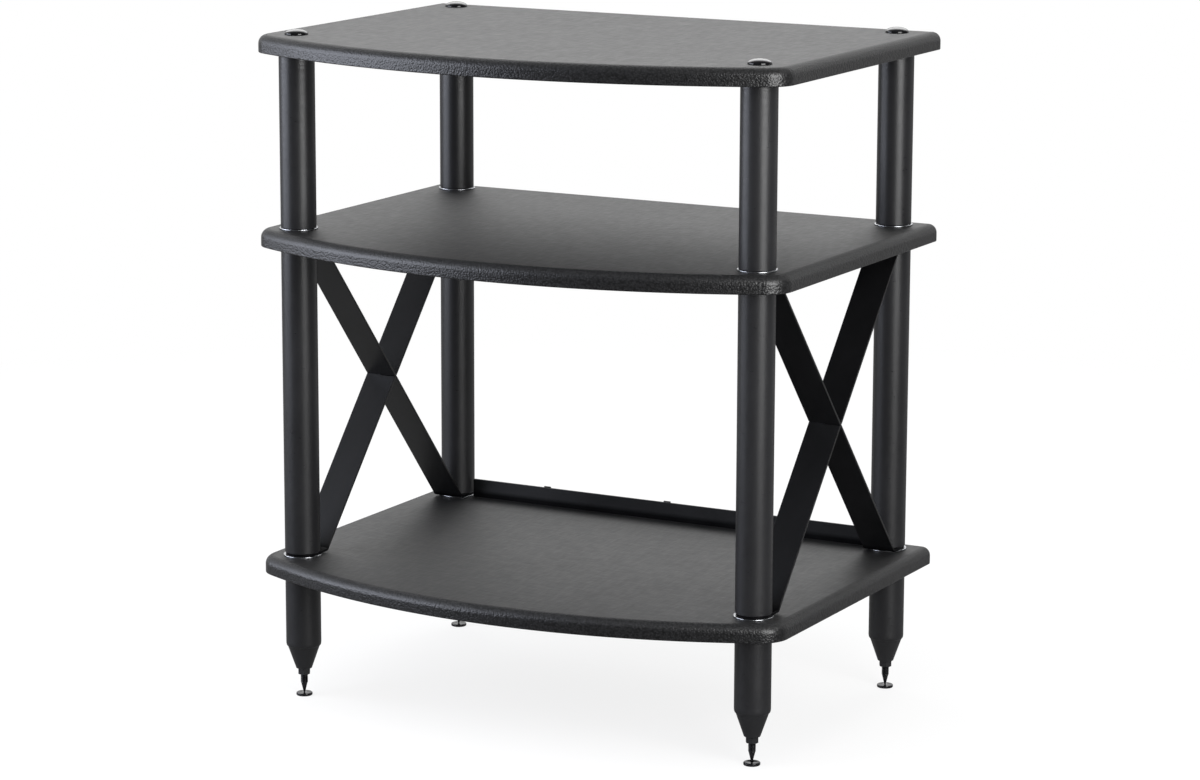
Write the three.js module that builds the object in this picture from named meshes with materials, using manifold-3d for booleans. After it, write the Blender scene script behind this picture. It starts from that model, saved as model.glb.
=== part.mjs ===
import * as THREE from 'three';
import { mergeVertices } from 'three/addons/utils/BufferGeometryUtils.js';
import Module from 'manifold-3d';

// Free-standing audio rack. Three bow-fronted shelves are clamped between four pillars of steel
// tube. A pair of crossed flat braces stiffens each side of the lower bay, a low rail stops records
// at the back of the bottom shelf, and each pillar ends in an adjustable spike on a floor disc.
// Millimetres, +Z up, the front towards -Y, the origin on the floor under the middle of the shelves.

const wasm = await Module();
wasm.setup();

// Shelves
const shelfWidth = 600;
const shelfDepth = 450;
const shelfThickness = 18;
const frontArcRadius = 638;
const frontCornerRadius = 31;
const rearCornerRadius = 9.5;
const leastCornerRadius = 0.2;
const topEdgeRadius = 9;
const bottomEdgeRadius = 1;

// Pillars
const tubeDiameter = 36.8;
const tubeWall = 1.5;
const tubeEndChamfer = 0.7;
const endPlugThickness = 10;
const sideEdgeToTube = 38.5;
const rearEdgeToTube = 31.5;
const cornerToFrontTube = 2.6;
const lowerBayHeight = 326.5;
const upperBayHeight = 181.5;

// Screws that join the tubes through the shelves; a thread is drawn at its mean diameter
const threadDiameter = 7.2;
const threadClearance = 0.3;
const threadEndChamfer = 0.6;
const screwReach = 14;
const holeClearance = 0.6;
const capDiameter = 24;
const capRimHeight = 1;
const capHeight = 5.5;
const ringDiameter = 39.8;
const ringThickness = 1.5;

// Crossed braces of flat bar
const braceWidth = 35;
const braceThickness = 2.5;
const braceBendRadius = 5;
const braceTubeClearance = 0.3;
const braceSlotClearance = 0.3;

// Feet, from the floor up
const discDiameter = 17;
const discThickness = 3;
const discEdgeChamfer = 0.6;
const dimpleDiameter = 4.4;
const dimpleDepth = 1.2;
const spikeTipClearance = 0.3;
const spikeTipDiameter = 0.8;
const spikeTaperLength = 10.9;
const rodBelowNut = 10;
const rodLength = 50;
const nutAcrossFlats = 12;
const nutThickness = 6.2;
const nutChamfer = 0.8;
const nutClearance = 0.3;
const coneBottomDiameter = 16.4;
const coneHeight = 24.7;
const coneStep = 0.2;
const spigotLength = 12;
const spigotClearance = 0.3;
const footRoundDepth = 1.4;
const footRoundHeight = 4.3;
const footTubeLength = 79.3;

// Record rail and its brackets
const railHeight = 20;
const railThickness = 2;
const railCornerRadius = 2;
const railToTube = 2.2;
const bracketSpacing = 148;
const bracketWidth = 8;
const bracketThickness = 1.5;
const bracketFootLength = 15;
const bracketBendRadius = 3;
const bracketAboveRail = 1;
const woodScrewDiameter = 3.5;
const woodScrewLength = 12;
const woodScrewPointLength = 3;
const woodScrewHeadDiameter = 6.6;
const woodScrewHeadHeight = 2;
const woodScrewClearance = 0.3;

// How far a cutting body runs past the face it cuts
const cutOverrun = 2;

// Faces on the round forms
const tubeSides = 24;
const discSides = 16;
const holeSides = 10;
const arcSteps = 14;
const cornerSteps = 4;
const topEdgeSteps = 4;
const bottomEdgeSteps = 1;
const lipSteps = 2;
const domeSteps = 3;
const bendSteps = 3;

// Places worked out from the sizes above
const tubeRadius = tubeDiameter / 2;
const threadRadius = threadDiameter / 2;
const threadHoleRadius = threadRadius + threadClearance;
const clearHoleRadius = threadRadius + holeClearance;
const tubeX = shelfWidth / 2 - sideEdgeToTube;
const frontArcY = frontArcRadius - shelfDepth / 2;
const cornerX = shelfWidth / 2 - frontCornerRadius;
const cornerY = frontArcY - Math.sqrt((frontArcRadius - frontCornerRadius) ** 2 - cornerX ** 2);
const rearTubeY = shelfDepth / 2 - rearEdgeToTube;
const frontTubeY = cornerY + cornerToFrontTube;
const spikeTipHeight = discThickness - dimpleDepth + spikeTipClearance;
const taperTop = spikeTipHeight + spikeTaperLength;
const nutBottom = taperTop + rodBelowNut;
const coneBottom = nutBottom + nutThickness + nutClearance;
const coneTop = coneBottom + coneHeight;
const bottomShelfBase = coneTop + footTubeLength;
const bottomShelfTop = bottomShelfBase + shelfThickness;
const middleShelfBase = bottomShelfTop + lowerBayHeight;
const middleShelfTop = middleShelfBase + shelfThickness;
const topShelfBase = middleShelfTop + upperBayHeight;
const lipRadius = tubeRadius - footRoundDepth;
const woodScrewRadius = woodScrewDiameter / 2;
const pilotHoleRadius = woodScrewRadius + woodScrewClearance;
const woodScrewY = rearTubeY + (bracketThickness + bracketFootLength) / 2;
const bracketPlaces = [-bracketSpacing, 0, bracketSpacing];

// Finishes

function finish(colour, roughness, metalness) {
  return new THREE.MeshStandardMaterial({ color: colour, roughness, metalness });
}

const boardFinish = () => finish(0x2e2e30, 0.5, 0);
const powderCoat = () => finish(0x242427, 0.45, 0.1);
const gloss = () => finish(0x0c0c0e, 0.12, 0.2);
const bracePaint = () => finish(0x1b1b1e, 0.5, 0.1);
const plating = () => finish(0xd0d2d6, 0.15, 1);
const zinc = () => finish(0x8e9094, 0.4, 1);

// Solids

function solidOf(geometry) {
  const bare = geometry.clone();
  bare.deleteAttribute('normal');
  bare.deleteAttribute('uv');
  const merged = mergeVertices(bare);
  const corners = merged.index.array;
  const triangles = [];
  for (let i = 0; i < corners.length; i += 3) {
    const [a, b, c] = corners.slice(i, i + 3);
    if (a !== b && b !== c && c !== a) triangles.push(a, b, c);
  }
  return new wasm.Manifold(new wasm.Mesh({
    numProp: 3,
    vertProperties: merged.attributes.position.array,
    triVerts: new Uint32Array(triangles),
  }));
}

function geometryOf(solid) {
  const mesh = solid.getMesh();
  const geometry = new THREE.BufferGeometry();
  geometry.setAttribute('position', new THREE.BufferAttribute(mesh.vertProperties, 3));
  geometry.setIndex(new THREE.BufferAttribute(mesh.triVerts, 1));
  geometry.computeVertexNormals();
  return geometry;
}

// A profile of [radius, height] pairs, anticlockwise, turned about the vertical axis
function turned(profile, sides) {
  const points = profile.map(([radius, height]) => new THREE.Vector2(radius, height));
  return new THREE.LatheGeometry(points, sides).rotateX(Math.PI / 2);
}

// A turned profile that closes on itself round a bore
function turnedRing(profile, sides) {
  return turned([...profile, profile[0]], sides);
}

function upright(radius, base, height, sides) {
  const cylinder = new THREE.CylinderGeometry(radius, radius, height, sides);
  return cylinder.rotateX(Math.PI / 2).translate(0, 0, base + height / 2);
}

// A flat outline in Y and Z, given its width along X
function acrossX(points, width) {
  const shape = new THREE.Shape(points);
  const geometry = new THREE.ExtrudeGeometry(shape, { depth: width, bevelEnabled: false });
  const turn = new THREE.Matrix4().makeBasis(
    new THREE.Vector3(0, 1, 0),
    new THREE.Vector3(0, 0, 1),
    new THREE.Vector3(1, 0, 0),
  );
  return geometry.applyMatrix4(turn).translate(-width / 2, 0, 0);
}

function arc(centreX, centreY, radius, from, to, steps) {
  const points = [];
  for (let i = 0; i <= steps; i++) {
    const angle = from + (to - from) * i / steps;
    points.push([centreX + radius * Math.cos(angle), centreY + radius * Math.sin(angle)]);
  }
  return points;
}

// Shelves: a straight back, straight parallel sides and a bowed front, all corners rounded

function shelfOutline(inset) {
  const sweep = Math.atan2(cornerX, frontArcY - cornerY);
  const down = -Math.PI / 2;
  const frontRadius = Math.max(frontCornerRadius - inset, leastCornerRadius);
  const rearRadius = Math.max(rearCornerRadius - inset, leastCornerRadius);
  const rearX = shelfWidth / 2 - inset - rearRadius;
  const rearY = shelfDepth / 2 - inset - rearRadius;
  return [
    ...arc(0, frontArcY, frontArcRadius - inset, down - sweep, down + sweep, arcSteps).slice(1, -1),
    ...arc(cornerX, cornerY, frontRadius, down + sweep, 0, cornerSteps),
    ...arc(rearX, rearY, rearRadius, 0, Math.PI / 2, cornerSteps),
    ...arc(-rearX, rearY, rearRadius, Math.PI / 2, Math.PI, cornerSteps),
    ...arc(-cornerX, cornerY, frontRadius, Math.PI, 3 * Math.PI / 2 - sweep, cornerSteps),
  ];
}

// Outlines stacked from the underside to the top, each with its own inset and height
function shelfLevels() {
  const levels = [];
  for (let i = 0; i <= bottomEdgeSteps; i++) {
    const angle = Math.PI / 2 * i / bottomEdgeSteps;
    levels.push([bottomEdgeRadius * (1 - Math.sin(angle)), bottomEdgeRadius * (1 - Math.cos(angle))]);
  }
  for (let i = 0; i <= topEdgeSteps; i++) {
    const angle = Math.PI / 2 * i / topEdgeSteps;
    const height = shelfThickness - topEdgeRadius * (1 - Math.sin(angle));
    levels.push([topEdgeRadius * (1 - Math.cos(angle)), height]);
  }
  return levels;
}

function shelfBoard() {
  const levels = shelfLevels();
  const positions = [];
  const triangles = [];
  const count = shelfOutline(0).length;
  levels.forEach(([inset, height]) => {
    shelfOutline(inset).forEach(([x, y]) => positions.push(x, y, height));
  });
  for (let level = 0; level + 1 < levels.length; level++) {
    for (let i = 0; i < count; i++) {
      const a = level * count + i;
      const b = level * count + (i + 1) % count;
      triangles.push(a, b, b + count, a, b + count, a + count);
    }
  }
  const top = (levels.length - 1) * count;
  for (let i = 1; i + 1 < count; i++) {
    triangles.push(0, i + 1, i);
    triangles.push(top, top + i, top + i + 1);
  }
  const geometry = new THREE.BufferGeometry();
  geometry.setAttribute('position', new THREE.Float32BufferAttribute(positions, 3));
  geometry.setIndex(triangles);
  return geometry;
}

function drilledShelf() {
  let board = solidOf(shelfBoard());
  const depth = shelfThickness + 2 * cutOverrun;
  for (const x of [-tubeX, tubeX]) {
    for (const y of [frontTubeY, rearTubeY]) {
      const hole = upright(clearHoleRadius, -cutOverrun, depth, holeSides);
      board = board.subtract(solidOf(hole.translate(x, y, 0)));
    }
  }
  return board;
}

// The bottom shelf also has pilot holes for the screws of the rail's brackets
function bottomShelf() {
  let board = drilledShelf();
  const depth = woodScrewLength + woodScrewClearance;
  for (const x of bracketPlaces) {
    const hole = upright(pilotHoleRadius, shelfThickness - depth, depth + cutOverrun, holeSides);
    board = board.subtract(solidOf(hole.translate(x, woodScrewY, 0)));
  }
  return board;
}

// Pillar tubes: drawn tube with a plug welded into each end and tapped for the screws

function pillarTube(length) {
  const bore = tubeRadius - tubeWall;
  return turnedRing([
    [tubeRadius - tubeEndChamfer, 0],
    [tubeRadius, tubeEndChamfer],
    [tubeRadius, length - tubeEndChamfer],
    [tubeRadius - tubeEndChamfer, length],
    [threadHoleRadius, length],
    [threadHoleRadius, length - endPlugThickness],
    [bore, length - endPlugThickness],
    [bore, endPlugThickness],
    [threadHoleRadius, endPlugThickness],
    [threadHoleRadius, 0],
  ], tubeSides);
}

// The foot tube has one plug, at the top, and its lower end is spun in to a rounded lip
function footTube() {
  const bore = tubeRadius - tubeWall;
  const profile = [];
  for (let i = lipSteps; i >= 0; i--) {
    const angle = Math.PI / 2 * i / lipSteps;
    profile.push([
      lipRadius + footRoundDepth * Math.cos(angle),
      footRoundHeight * (1 - Math.sin(angle)),
    ]);
  }
  profile.push(
    [tubeRadius, footTubeLength - tubeEndChamfer],
    [tubeRadius - tubeEndChamfer, footTubeLength],
    [threadHoleRadius, footTubeLength],
    [threadHoleRadius, footTubeLength - endPlugThickness],
    [bore, footTubeLength - endPlugThickness],
    [bore, footRoundHeight],
    [lipRadius - tubeWall, 0],
  );
  return turnedRing(profile, tubeSides);
}

// Screws and rings

function chamferedRod(length) {
  return turned([
    [0, 0],
    [threadRadius - threadEndChamfer, 0],
    [threadRadius, threadEndChamfer],
    [threadRadius, length - threadEndChamfer],
    [threadRadius - threadEndChamfer, length],
    [0, length],
  ], holeSides);
}

// A domed cap with its threaded shank below it; height 0 is the underside of the cap
function capScrew() {
  const rise = capHeight - capRimHeight;
  const capRadius = capDiameter / 2;
  const shank = shelfThickness + screwReach;
  const profile = [
    [0, -shank],
    [threadRadius - threadEndChamfer, -shank],
    [threadRadius, threadEndChamfer - shank],
    [threadRadius, 0],
    [capRadius, 0],
  ];
  for (let i = 0; i < domeSteps; i++) {
    const angle = Math.PI / 2 * i / domeSteps;
    profile.push([capRadius * Math.cos(angle), capRimHeight + rise * Math.sin(angle)]);
  }
  profile.push([0, capHeight]);
  return turned(profile, discSides);
}

// The stud through the bottom shelf, with the ring under the lower tube joined to it. The real ring is
// a loose piece like the upper ones. Height 0 is the underside of the ring.
function studWithRing() {
  const below = shelfThickness + screwReach;
  const rod = chamferedRod(below + ringThickness + braceThickness + screwReach);
  const ring = upright(ringDiameter / 2, 0, ringThickness, tubeSides);
  return geometryOf(solidOf(rod.translate(0, 0, -below)).add(solidOf(ring)));
}

function platedRing() {
  const ring = upright(ringDiameter / 2, 0, ringThickness, tubeSides);
  const bore = upright(clearHoleRadius, -cutOverrun, ringThickness + 2 * cutOverrun, holeSides);
  return geometryOf(solidOf(ring).subtract(solidOf(bore)));
}

// Feet

function floorDisc() {
  const radius = discDiameter / 2;
  return turned([
    [0, 0],
    [radius - discEdgeChamfer, 0],
    [radius, discEdgeChamfer],
    [radius, discThickness - discEdgeChamfer],
    [radius - discEdgeChamfer, discThickness],
    [dimpleDiameter / 2, discThickness],
    [0, discThickness - dimpleDepth],
  ], discSides);
}

function spike() {
  return turned([
    [0, 0],
    [spikeTipDiameter / 2, 0],
    [threadRadius, spikeTaperLength],
    [threadRadius, spikeTaperLength + rodLength - threadEndChamfer],
    [threadRadius - threadEndChamfer, spikeTaperLength + rodLength],
    [0, spikeTaperLength + rodLength],
  ], holeSides);
}

function lockNut() {
  const flat = nutAcrossFlats / 2;
  const corner = flat / Math.cos(Math.PI / 6);
  const prism = solidOf(upright(corner, 0, nutThickness, 6));
  const chamfered = solidOf(turned([
    [0, 0],
    [flat, 0],
    [flat + nutChamfer / Math.tan(Math.PI / 6), nutChamfer],
    [flat + nutChamfer / Math.tan(Math.PI / 6), nutThickness - nutChamfer],
    [flat, nutThickness],
    [0, nutThickness],
  ], holeSides));
  const bore = solidOf(upright(threadHoleRadius, -cutOverrun, nutThickness + 2 * cutOverrun, holeSides));
  return geometryOf(prism.intersect(chamfered).subtract(bore));
}

// The cone seats on the foot tube's lip, with a spigot inside the tube and a tapped bore
function footCone() {
  const spigotRadius = lipRadius - tubeWall - spigotClearance;
  return turnedRing([
    [threadHoleRadius, 0],
    [coneBottomDiameter / 2, 0],
    [lipRadius - coneStep, coneHeight],
    [spigotRadius, coneHeight],
    [spigotRadius, coneHeight + spigotLength],
    [threadHoleRadius, coneHeight + spigotLength],
  ], tubeSides);
}

// Crossed braces: each is one flat bar, bent level at both ends into a tab with a round end. The
// lower tab is clamped between the tube and its ring, the upper one between the tube and the middle
// shelf. The two bars of a side pass through each other at the middle of the bay, each slotted to
// half its width.

const braceLow = bottomShelfTop + ringThickness + braceThickness / 2;
const braceHigh = middleShelfBase - braceThickness / 2;
const crossingY = (frontTubeY + rearTubeY) / 2;
const crossingZ = (braceLow + braceHigh) / 2;

// Each bend starts just clear of the tube, so the slope follows from a quadratic in tan(slope / 2)
function braceSlope() {
  const rise = braceHigh - braceLow;
  const run = rearTubeY - frontTubeY - tubeDiameter - 2 * braceTubeClearance;
  const square = rise - 4 * braceBendRadius;
  return 2 * Math.atan((Math.sqrt(run ** 2 + rise * square) - run) / square);
}

const slope = braceSlope();
const tangent = braceBendRadius * Math.tan(slope / 2);
const bendY = frontTubeY + tubeRadius + braceTubeClearance + tangent;

// Half of the bar's middle line, from the front tab to the crossing, as [y, z, direction]
function risingHalf() {
  const stations = [[frontTubeY, braceLow, 0]];
  for (let i = 0; i <= bendSteps; i++) {
    const angle = slope * i / bendSteps;
    stations.push([
      bendY - tangent + braceBendRadius * Math.sin(angle),
      braceLow + braceBendRadius * (1 - Math.cos(angle)),
      angle,
    ]);
  }
  return stations;
}

function risingProfile() {
  const half = risingHalf();
  const turnedHalf = half.map(([y, z, angle]) => [2 * crossingY - y, 2 * crossingZ - z, angle]);
  const line = [...half, ...turnedHalf.reverse()];
  const side = (sign) => line.map(([y, z, angle]) => new THREE.Vector2(
    y - sign * Math.sin(angle) * braceThickness / 2,
    z + sign * Math.cos(angle) * braceThickness / 2,
  ));
  return [...side(-1), ...side(1).reverse()];
}

function tab(y, z) {
  const disc = upright(braceWidth / 2, z - braceThickness / 2, braceThickness, tubeSides);
  return solidOf(disc.translate(0, y, 0));
}

// The space that the other bar of the pair takes up at the crossing, over half the width
function slotCutter(sign) {
  const depth = (braceWidth + braceSlotClearance) / 2 + cutOverrun;
  const box = new THREE.BoxGeometry(depth, braceWidth, braceThickness + 2 * braceSlotClearance);
  box.translate(sign * (depth - braceSlotClearance) / 2, 0, 0);
  box.rotateX(-slope);
  return solidOf(box.translate(0, crossingY, crossingZ));
}

function risingBrace(slotSide) {
  let bar = solidOf(acrossX(risingProfile(), braceWidth));
  for (const [y, z] of [[frontTubeY, braceLow], [rearTubeY, braceHigh]]) {
    const hole = upright(clearHoleRadius, z - braceThickness, 2 * braceThickness, holeSides);
    bar = bar.add(tab(y, z)).subtract(solidOf(hole.translate(0, y, 0)));
  }
  return geometryOf(bar.subtract(slotCutter(slotSide)));
}

// The falling bar is the rising one turned over about the line through the crossing along Y
function fallingBrace() {
  const bar = risingBrace(1);
  return bar.translate(0, 0, -crossingZ).rotateY(Math.PI).translate(0, 0, crossingZ);
}

// Record rail with its brackets and their screws

function recordRail() {
  const half = tubeX - tubeRadius - railToTube;
  const radius = railCornerRadius;
  const outline = [
    [-half, 0],
    [half, 0],
    ...arc(half - radius, railHeight - radius, radius, 0, Math.PI / 2, bendSteps),
    ...arc(radius - half, railHeight - radius, radius, Math.PI / 2, Math.PI, bendSteps),
  ];
  const shape = new THREE.Shape(outline.map(([x, z]) => new THREE.Vector2(x, z)));
  const plate = new THREE.ExtrudeGeometry(shape, { depth: railThickness, bevelEnabled: false });
  return plate.rotateX(Math.PI / 2);
}

function railBracket() {
  const height = railHeight + bracketAboveRail;
  const foot = bracketThickness + bracketFootLength;
  const inner = bracketBendRadius - bracketThickness;
  const down = 3 * Math.PI / 2;
  const outline = [
    ...arc(bracketBendRadius, bracketBendRadius, bracketBendRadius, Math.PI, down, bendSteps),
    [foot, 0],
    [foot, bracketThickness],
    ...arc(bracketBendRadius, bracketBendRadius, inner, down, Math.PI, bendSteps),
    [bracketThickness, height],
    [0, height],
  ];
  const angle = acrossX(outline.map(([y, z]) => new THREE.Vector2(y, z)), bracketWidth);
  const hole = upright(pilotHoleRadius, -cutOverrun, bracketThickness + 2 * cutOverrun, holeSides);
  return geometryOf(solidOf(angle).subtract(solidOf(hole.translate(0, foot / 2, 0))));
}

// Height 0 is the underside of the screw's head
function woodScrew() {
  const head = woodScrewHeadDiameter / 2;
  return turned([
    [0, -woodScrewLength - bracketThickness],
    [woodScrewRadius, woodScrewPointLength - woodScrewLength - bracketThickness],
    [woodScrewRadius, 0],
    [head, 0],
    [head, woodScrewHeadHeight / 2],
    [head / 2, woodScrewHeadHeight],
    [0, woodScrewHeadHeight],
  ], holeSides);
}

// Assembly

function place(parent, name, geometry, material, x, y, z) {
  const mesh = new THREE.Mesh(geometry, material);
  mesh.name = name;
  mesh.position.set(x, y, z);
  parent.add(mesh);
}

function pillar(name, x, y) {
  const group = new THREE.Group();
  const clampedTube = pillarTube(lowerBayHeight - ringThickness - 2 * braceThickness);
  const openTube = pillarTube(upperBayHeight - ringThickness);
  const lowerTubeBase = bottomShelfTop + ringThickness + braceThickness;
  const upperStud = chamferedRod(2 * screwReach + shelfThickness + braceThickness + ringThickness);
  const topShelfTop = topShelfBase + shelfThickness;
  place(group, `${name}_floor_disc`, floorDisc(), gloss(), 0, 0, 0);
  place(group, `${name}_spike`, spike(), gloss(), 0, 0, spikeTipHeight);
  place(group, `${name}_lock_nut`, lockNut(), powderCoat(), 0, 0, nutBottom);
  place(group, `${name}_foot_cone`, footCone(), powderCoat(), 0, 0, coneBottom);
  place(group, `${name}_foot_tube`, footTube(), powderCoat(), 0, 0, coneTop);
  place(group, `${name}_lower_stud`, studWithRing(), plating(), 0, 0, bottomShelfTop);
  place(group, `${name}_lower_tube`, clampedTube, powderCoat(), 0, 0, lowerTubeBase);
  place(group, `${name}_upper_stud`, upperStud, zinc(), 0, 0, middleShelfBase - braceThickness - screwReach);
  place(group, `${name}_ring`, platedRing(), plating(), 0, 0, middleShelfTop);
  place(group, `${name}_upper_tube`, openTube, powderCoat(), 0, 0, middleShelfTop + ringThickness);
  place(group, `${name}_cap`, capScrew(), gloss(), 0, 0, topShelfTop);
  group.position.set(x, y, 0);
  return group;
}

const rack = new THREE.Group();
place(rack, 'bottom_shelf', geometryOf(bottomShelf()), boardFinish(), 0, 0, bottomShelfBase);
place(rack, 'middle_shelf', geometryOf(drilledShelf()), boardFinish(), 0, 0, middleShelfBase);
place(rack, 'top_shelf', geometryOf(drilledShelf()), boardFinish(), 0, 0, topShelfBase);

for (const [end, y] of [['front', frontTubeY], ['rear', rearTubeY]]) {
  rack.add(pillar(`${end}_left`, -tubeX, y));
  rack.add(pillar(`${end}_right`, tubeX, y));
}

for (const [side, x] of [['left', -tubeX], ['right', tubeX]]) {
  place(rack, `${side}_rising_brace`, risingBrace(1), bracePaint(), x, 0, 0);
  place(rack, `${side}_falling_brace`, fallingBrace(), bracePaint(), x, 0, 0);
}

place(rack, 'record_rail', recordRail(), bracePaint(), 0, rearTubeY, bottomShelfTop);
bracketPlaces.forEach((x, i) => {
  const name = ['left', 'middle', 'right'][i];
  place(rack, `${name}_rail_bracket`, railBracket(), bracePaint(), x, rearTubeY, bottomShelfTop);
  place(rack, `${name}_rail_screw`, woodScrew(), zinc(), x, woodScrewY, bottomShelfTop + bracketThickness);
});

export default rack;
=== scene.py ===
import math

import bpy
from mathutils import Matrix, Vector
from mathutils.geometry import delaunay_2d_cdt

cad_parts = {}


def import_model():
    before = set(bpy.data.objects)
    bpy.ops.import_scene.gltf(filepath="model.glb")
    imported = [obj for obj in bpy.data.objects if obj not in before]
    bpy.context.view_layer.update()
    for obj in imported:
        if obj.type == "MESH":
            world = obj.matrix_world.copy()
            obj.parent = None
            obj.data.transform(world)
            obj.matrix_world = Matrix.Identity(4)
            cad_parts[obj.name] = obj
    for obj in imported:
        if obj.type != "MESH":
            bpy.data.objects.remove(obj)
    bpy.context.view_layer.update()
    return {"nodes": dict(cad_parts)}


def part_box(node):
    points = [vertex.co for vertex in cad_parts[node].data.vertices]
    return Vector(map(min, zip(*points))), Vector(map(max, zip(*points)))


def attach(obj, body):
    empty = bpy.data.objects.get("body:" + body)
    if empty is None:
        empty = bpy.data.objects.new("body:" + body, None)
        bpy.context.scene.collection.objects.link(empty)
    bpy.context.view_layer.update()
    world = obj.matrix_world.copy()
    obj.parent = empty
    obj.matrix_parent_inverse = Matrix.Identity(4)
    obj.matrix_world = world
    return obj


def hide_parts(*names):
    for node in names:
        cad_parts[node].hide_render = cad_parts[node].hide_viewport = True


# The look of a three-shelf audio rack: each visible piece of the frame gets a fine mesh with its
# real edge rounding, and a node material. Sizes are in metres.

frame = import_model()

MM = 0.001

# Camera, as it stood for the photograph
CAMERA_PLACE = (1.8678, -3.4499, 1.1242)
CAMERA_AZIMUTH = 0.4915
CAMERA_PITCH = 0.1998
CAMERA_ROLL = 0.0032
CAMERA_LENS = 116.32

# Floor: how white it is to the camera near the rack, where that fades to plain white, and how
# light it is in reflections
FLOOR_GLOW = 0.82
SHADOW_NEAR = 0.6
SHADOW_FAR = 2
FLOOR_MIRRORED = 0.35
FLOOR_LIGHTENS = (-0.8, 0.6)

# Studio: its diffuse fill, the dark side behind the camera, and the backdrop opposite it, which
# grows lighter up to a direction's height of BACKDROP_RISE
STUDIO_FILL = 0.4
STUDIO_DARK = 0.06
STUDIO_LIGHTENS = (0.1, 0.7)
BACKDROP_LOW = 0.68
BACKDROP_HIGH = 1.1
BACKDROP_RISE = 0.45
LAMP_TARGET = (0, 0, 0.36)

# Shelves
FRONT_ARC_RADIUS = 638 * MM
FRONT_CORNER_RADIUS = 31 * MM
REAR_CORNER_RADIUS = 9.5 * MM
LEAST_CORNER_RADIUS = 0.3 * MM
TOP_EDGE_RADIUS = 9 * MM
BOTTOM_EDGE_RADIUS = 1 * MM

# Pillars and screws
TUBE_WALL = 1.5 * MM
TUBE_END_ROUND = 0.8 * MM
PLUG_THICKNESS = 10 * MM
THREAD_CREST_RADIUS = 4 * MM
THREAD_ROOT_RADIUS = 3.25 * MM
THREAD_PITCH = 1.25 * MM
TAPPED_RADIUS = 4.1 * MM
CLEAR_RADIUS = 4.2 * MM
STUD_RADIUS = 3.9 * MM
STUD_CHAMFER = 0.6 * MM
CAP_RIM_HEIGHT = 1 * MM
CAP_SHANK = 32 * MM
RING_ROUND = 0.5 * MM
LIP_DEPTH = 1.4 * MM
LIP_HEIGHT = 4.3 * MM
CONE_STEP = 0.2 * MM
CONE_HEIGHT = 24.7 * MM
CONE_BOTTOM_RADIUS = 8.2 * MM
CONE_EDGE_ROUND = 0.5 * MM
SPIGOT_CLEARANCE = 0.3 * MM
SPIKE_TIP_RADIUS = 0.35 * MM
SPIKE_TAPER = 10.9 * MM
DISC_ROUND = 0.9 * MM
DIMPLE_RADIUS = 2.2 * MM
DIMPLE_DEPTH = 1.2 * MM
NUT_FLAT = 6 * MM
NUT_CHAMFER = math.radians(30)

# Braces, rail and brackets
BRACE_WIDTH = 35 * MM
BRACE_THICKNESS = 2.5 * MM
BRACE_BEND_RADIUS = 5 * MM
BRACE_TUBE_CLEARANCE = 0.3 * MM
BRACE_SLOT_WIDTH = 3.1 * MM
BRACE_SLOT_OVERLAP = 0.15 * MM
BRACE_EDGE = 0.35 * MM
RAIL_CORNER = 2 * MM
RAIL_EDGE = 0.35 * MM
BRACKET_THICKNESS = 1.5 * MM
BRACKET_BEND_RADIUS = 2.25 * MM
BRACKET_EDGE = 0.25 * MM
SCREW_HOLE_RADIUS = 2.05 * MM
SCREW_HEAD_HEIGHT = 2 * MM
SCREW_SHANK_RADIUS = 1.75 * MM
SCREW_POINT = 3 * MM
RECESS_LENGTH = 3.6 * MM
RECESS_WIDTH = 0.8 * MM
RECESS_DEPTH = 1.1 * MM

# Steps round the forms
SIDES = 96
SMALL_SIDES = 64
ARC_STEPS = 72
CORNER_STEPS = 14
ROUND_STEPS = 8
BEND_STEPS = 10
DOME_STEPS = 12
PLATE_EDGE_STEPS = 3
NUT_STEPS = 16
THREAD_SIDES = 40
THREAD_ROWS = 8
SHARP_ANGLE = math.radians(32)
SAME_PLACE = 1e-7
# A triangle lies in a round hole where its middle is nearer than this share of the radius
IN_HOLE = 0.98

ENDS = ("front", "rear")
SIDES_OF_RACK = ("left", "right")
LEGS = [f"{end}_{side}" for end in ENDS for side in SIDES_OF_RACK]


# Materials

def new_material(name):
    material = bpy.data.materials.new(name)
    material.use_nodes = True
    nodes = material.node_tree.nodes
    return material, nodes, material.node_tree.links, nodes["Principled BSDF"]


def object_coordinates(nodes, links, scale):
    """Object coordinates, which are metres in the rack's own frame, times a scale for each axis."""
    source = nodes.new("ShaderNodeTexCoord")
    mapping = nodes.new("ShaderNodeMapping")
    mapping.inputs["Scale"].default_value = scale
    links.new(source.outputs["Object"], mapping.inputs["Vector"])
    return mapping.outputs["Vector"]


def noise(nodes, links, scale, detail=4.0, roughness=0.55):
    """Noise with one lump for each unit of the scaled coordinates."""
    texture = nodes.new("ShaderNodeTexNoise")
    texture.inputs["Scale"].default_value = 1.0
    texture.inputs["Detail"].default_value = detail
    texture.inputs["Roughness"].default_value = roughness
    links.new(object_coordinates(nodes, links, scale), texture.inputs["Vector"])
    return texture.outputs["Fac"]


def cells(nodes, links, size):
    """Rounded pebbles of about one size, high in the middle of each."""
    texture = nodes.new("ShaderNodeTexVoronoi")
    texture.feature = "SMOOTH_F1"
    texture.inputs["Scale"].default_value = 1.0
    texture.inputs["Smoothness"].default_value = 0.35
    scale = (1 / size, 1 / size, 1 / size)
    links.new(object_coordinates(nodes, links, scale), texture.inputs["Vector"])
    return calculate(nodes, links, "SUBTRACT", 1.0, texture.outputs["Distance"])


def calculate(nodes, links, operation, *values):
    """A sum on values that are sockets or numbers."""
    node = nodes.new("ShaderNodeMath")
    node.operation = operation
    for socket, value in zip(node.inputs, values):
        if isinstance(value, float):
            socket.default_value = value
        else:
            links.new(value, socket)
    return node.outputs["Value"]


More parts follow.
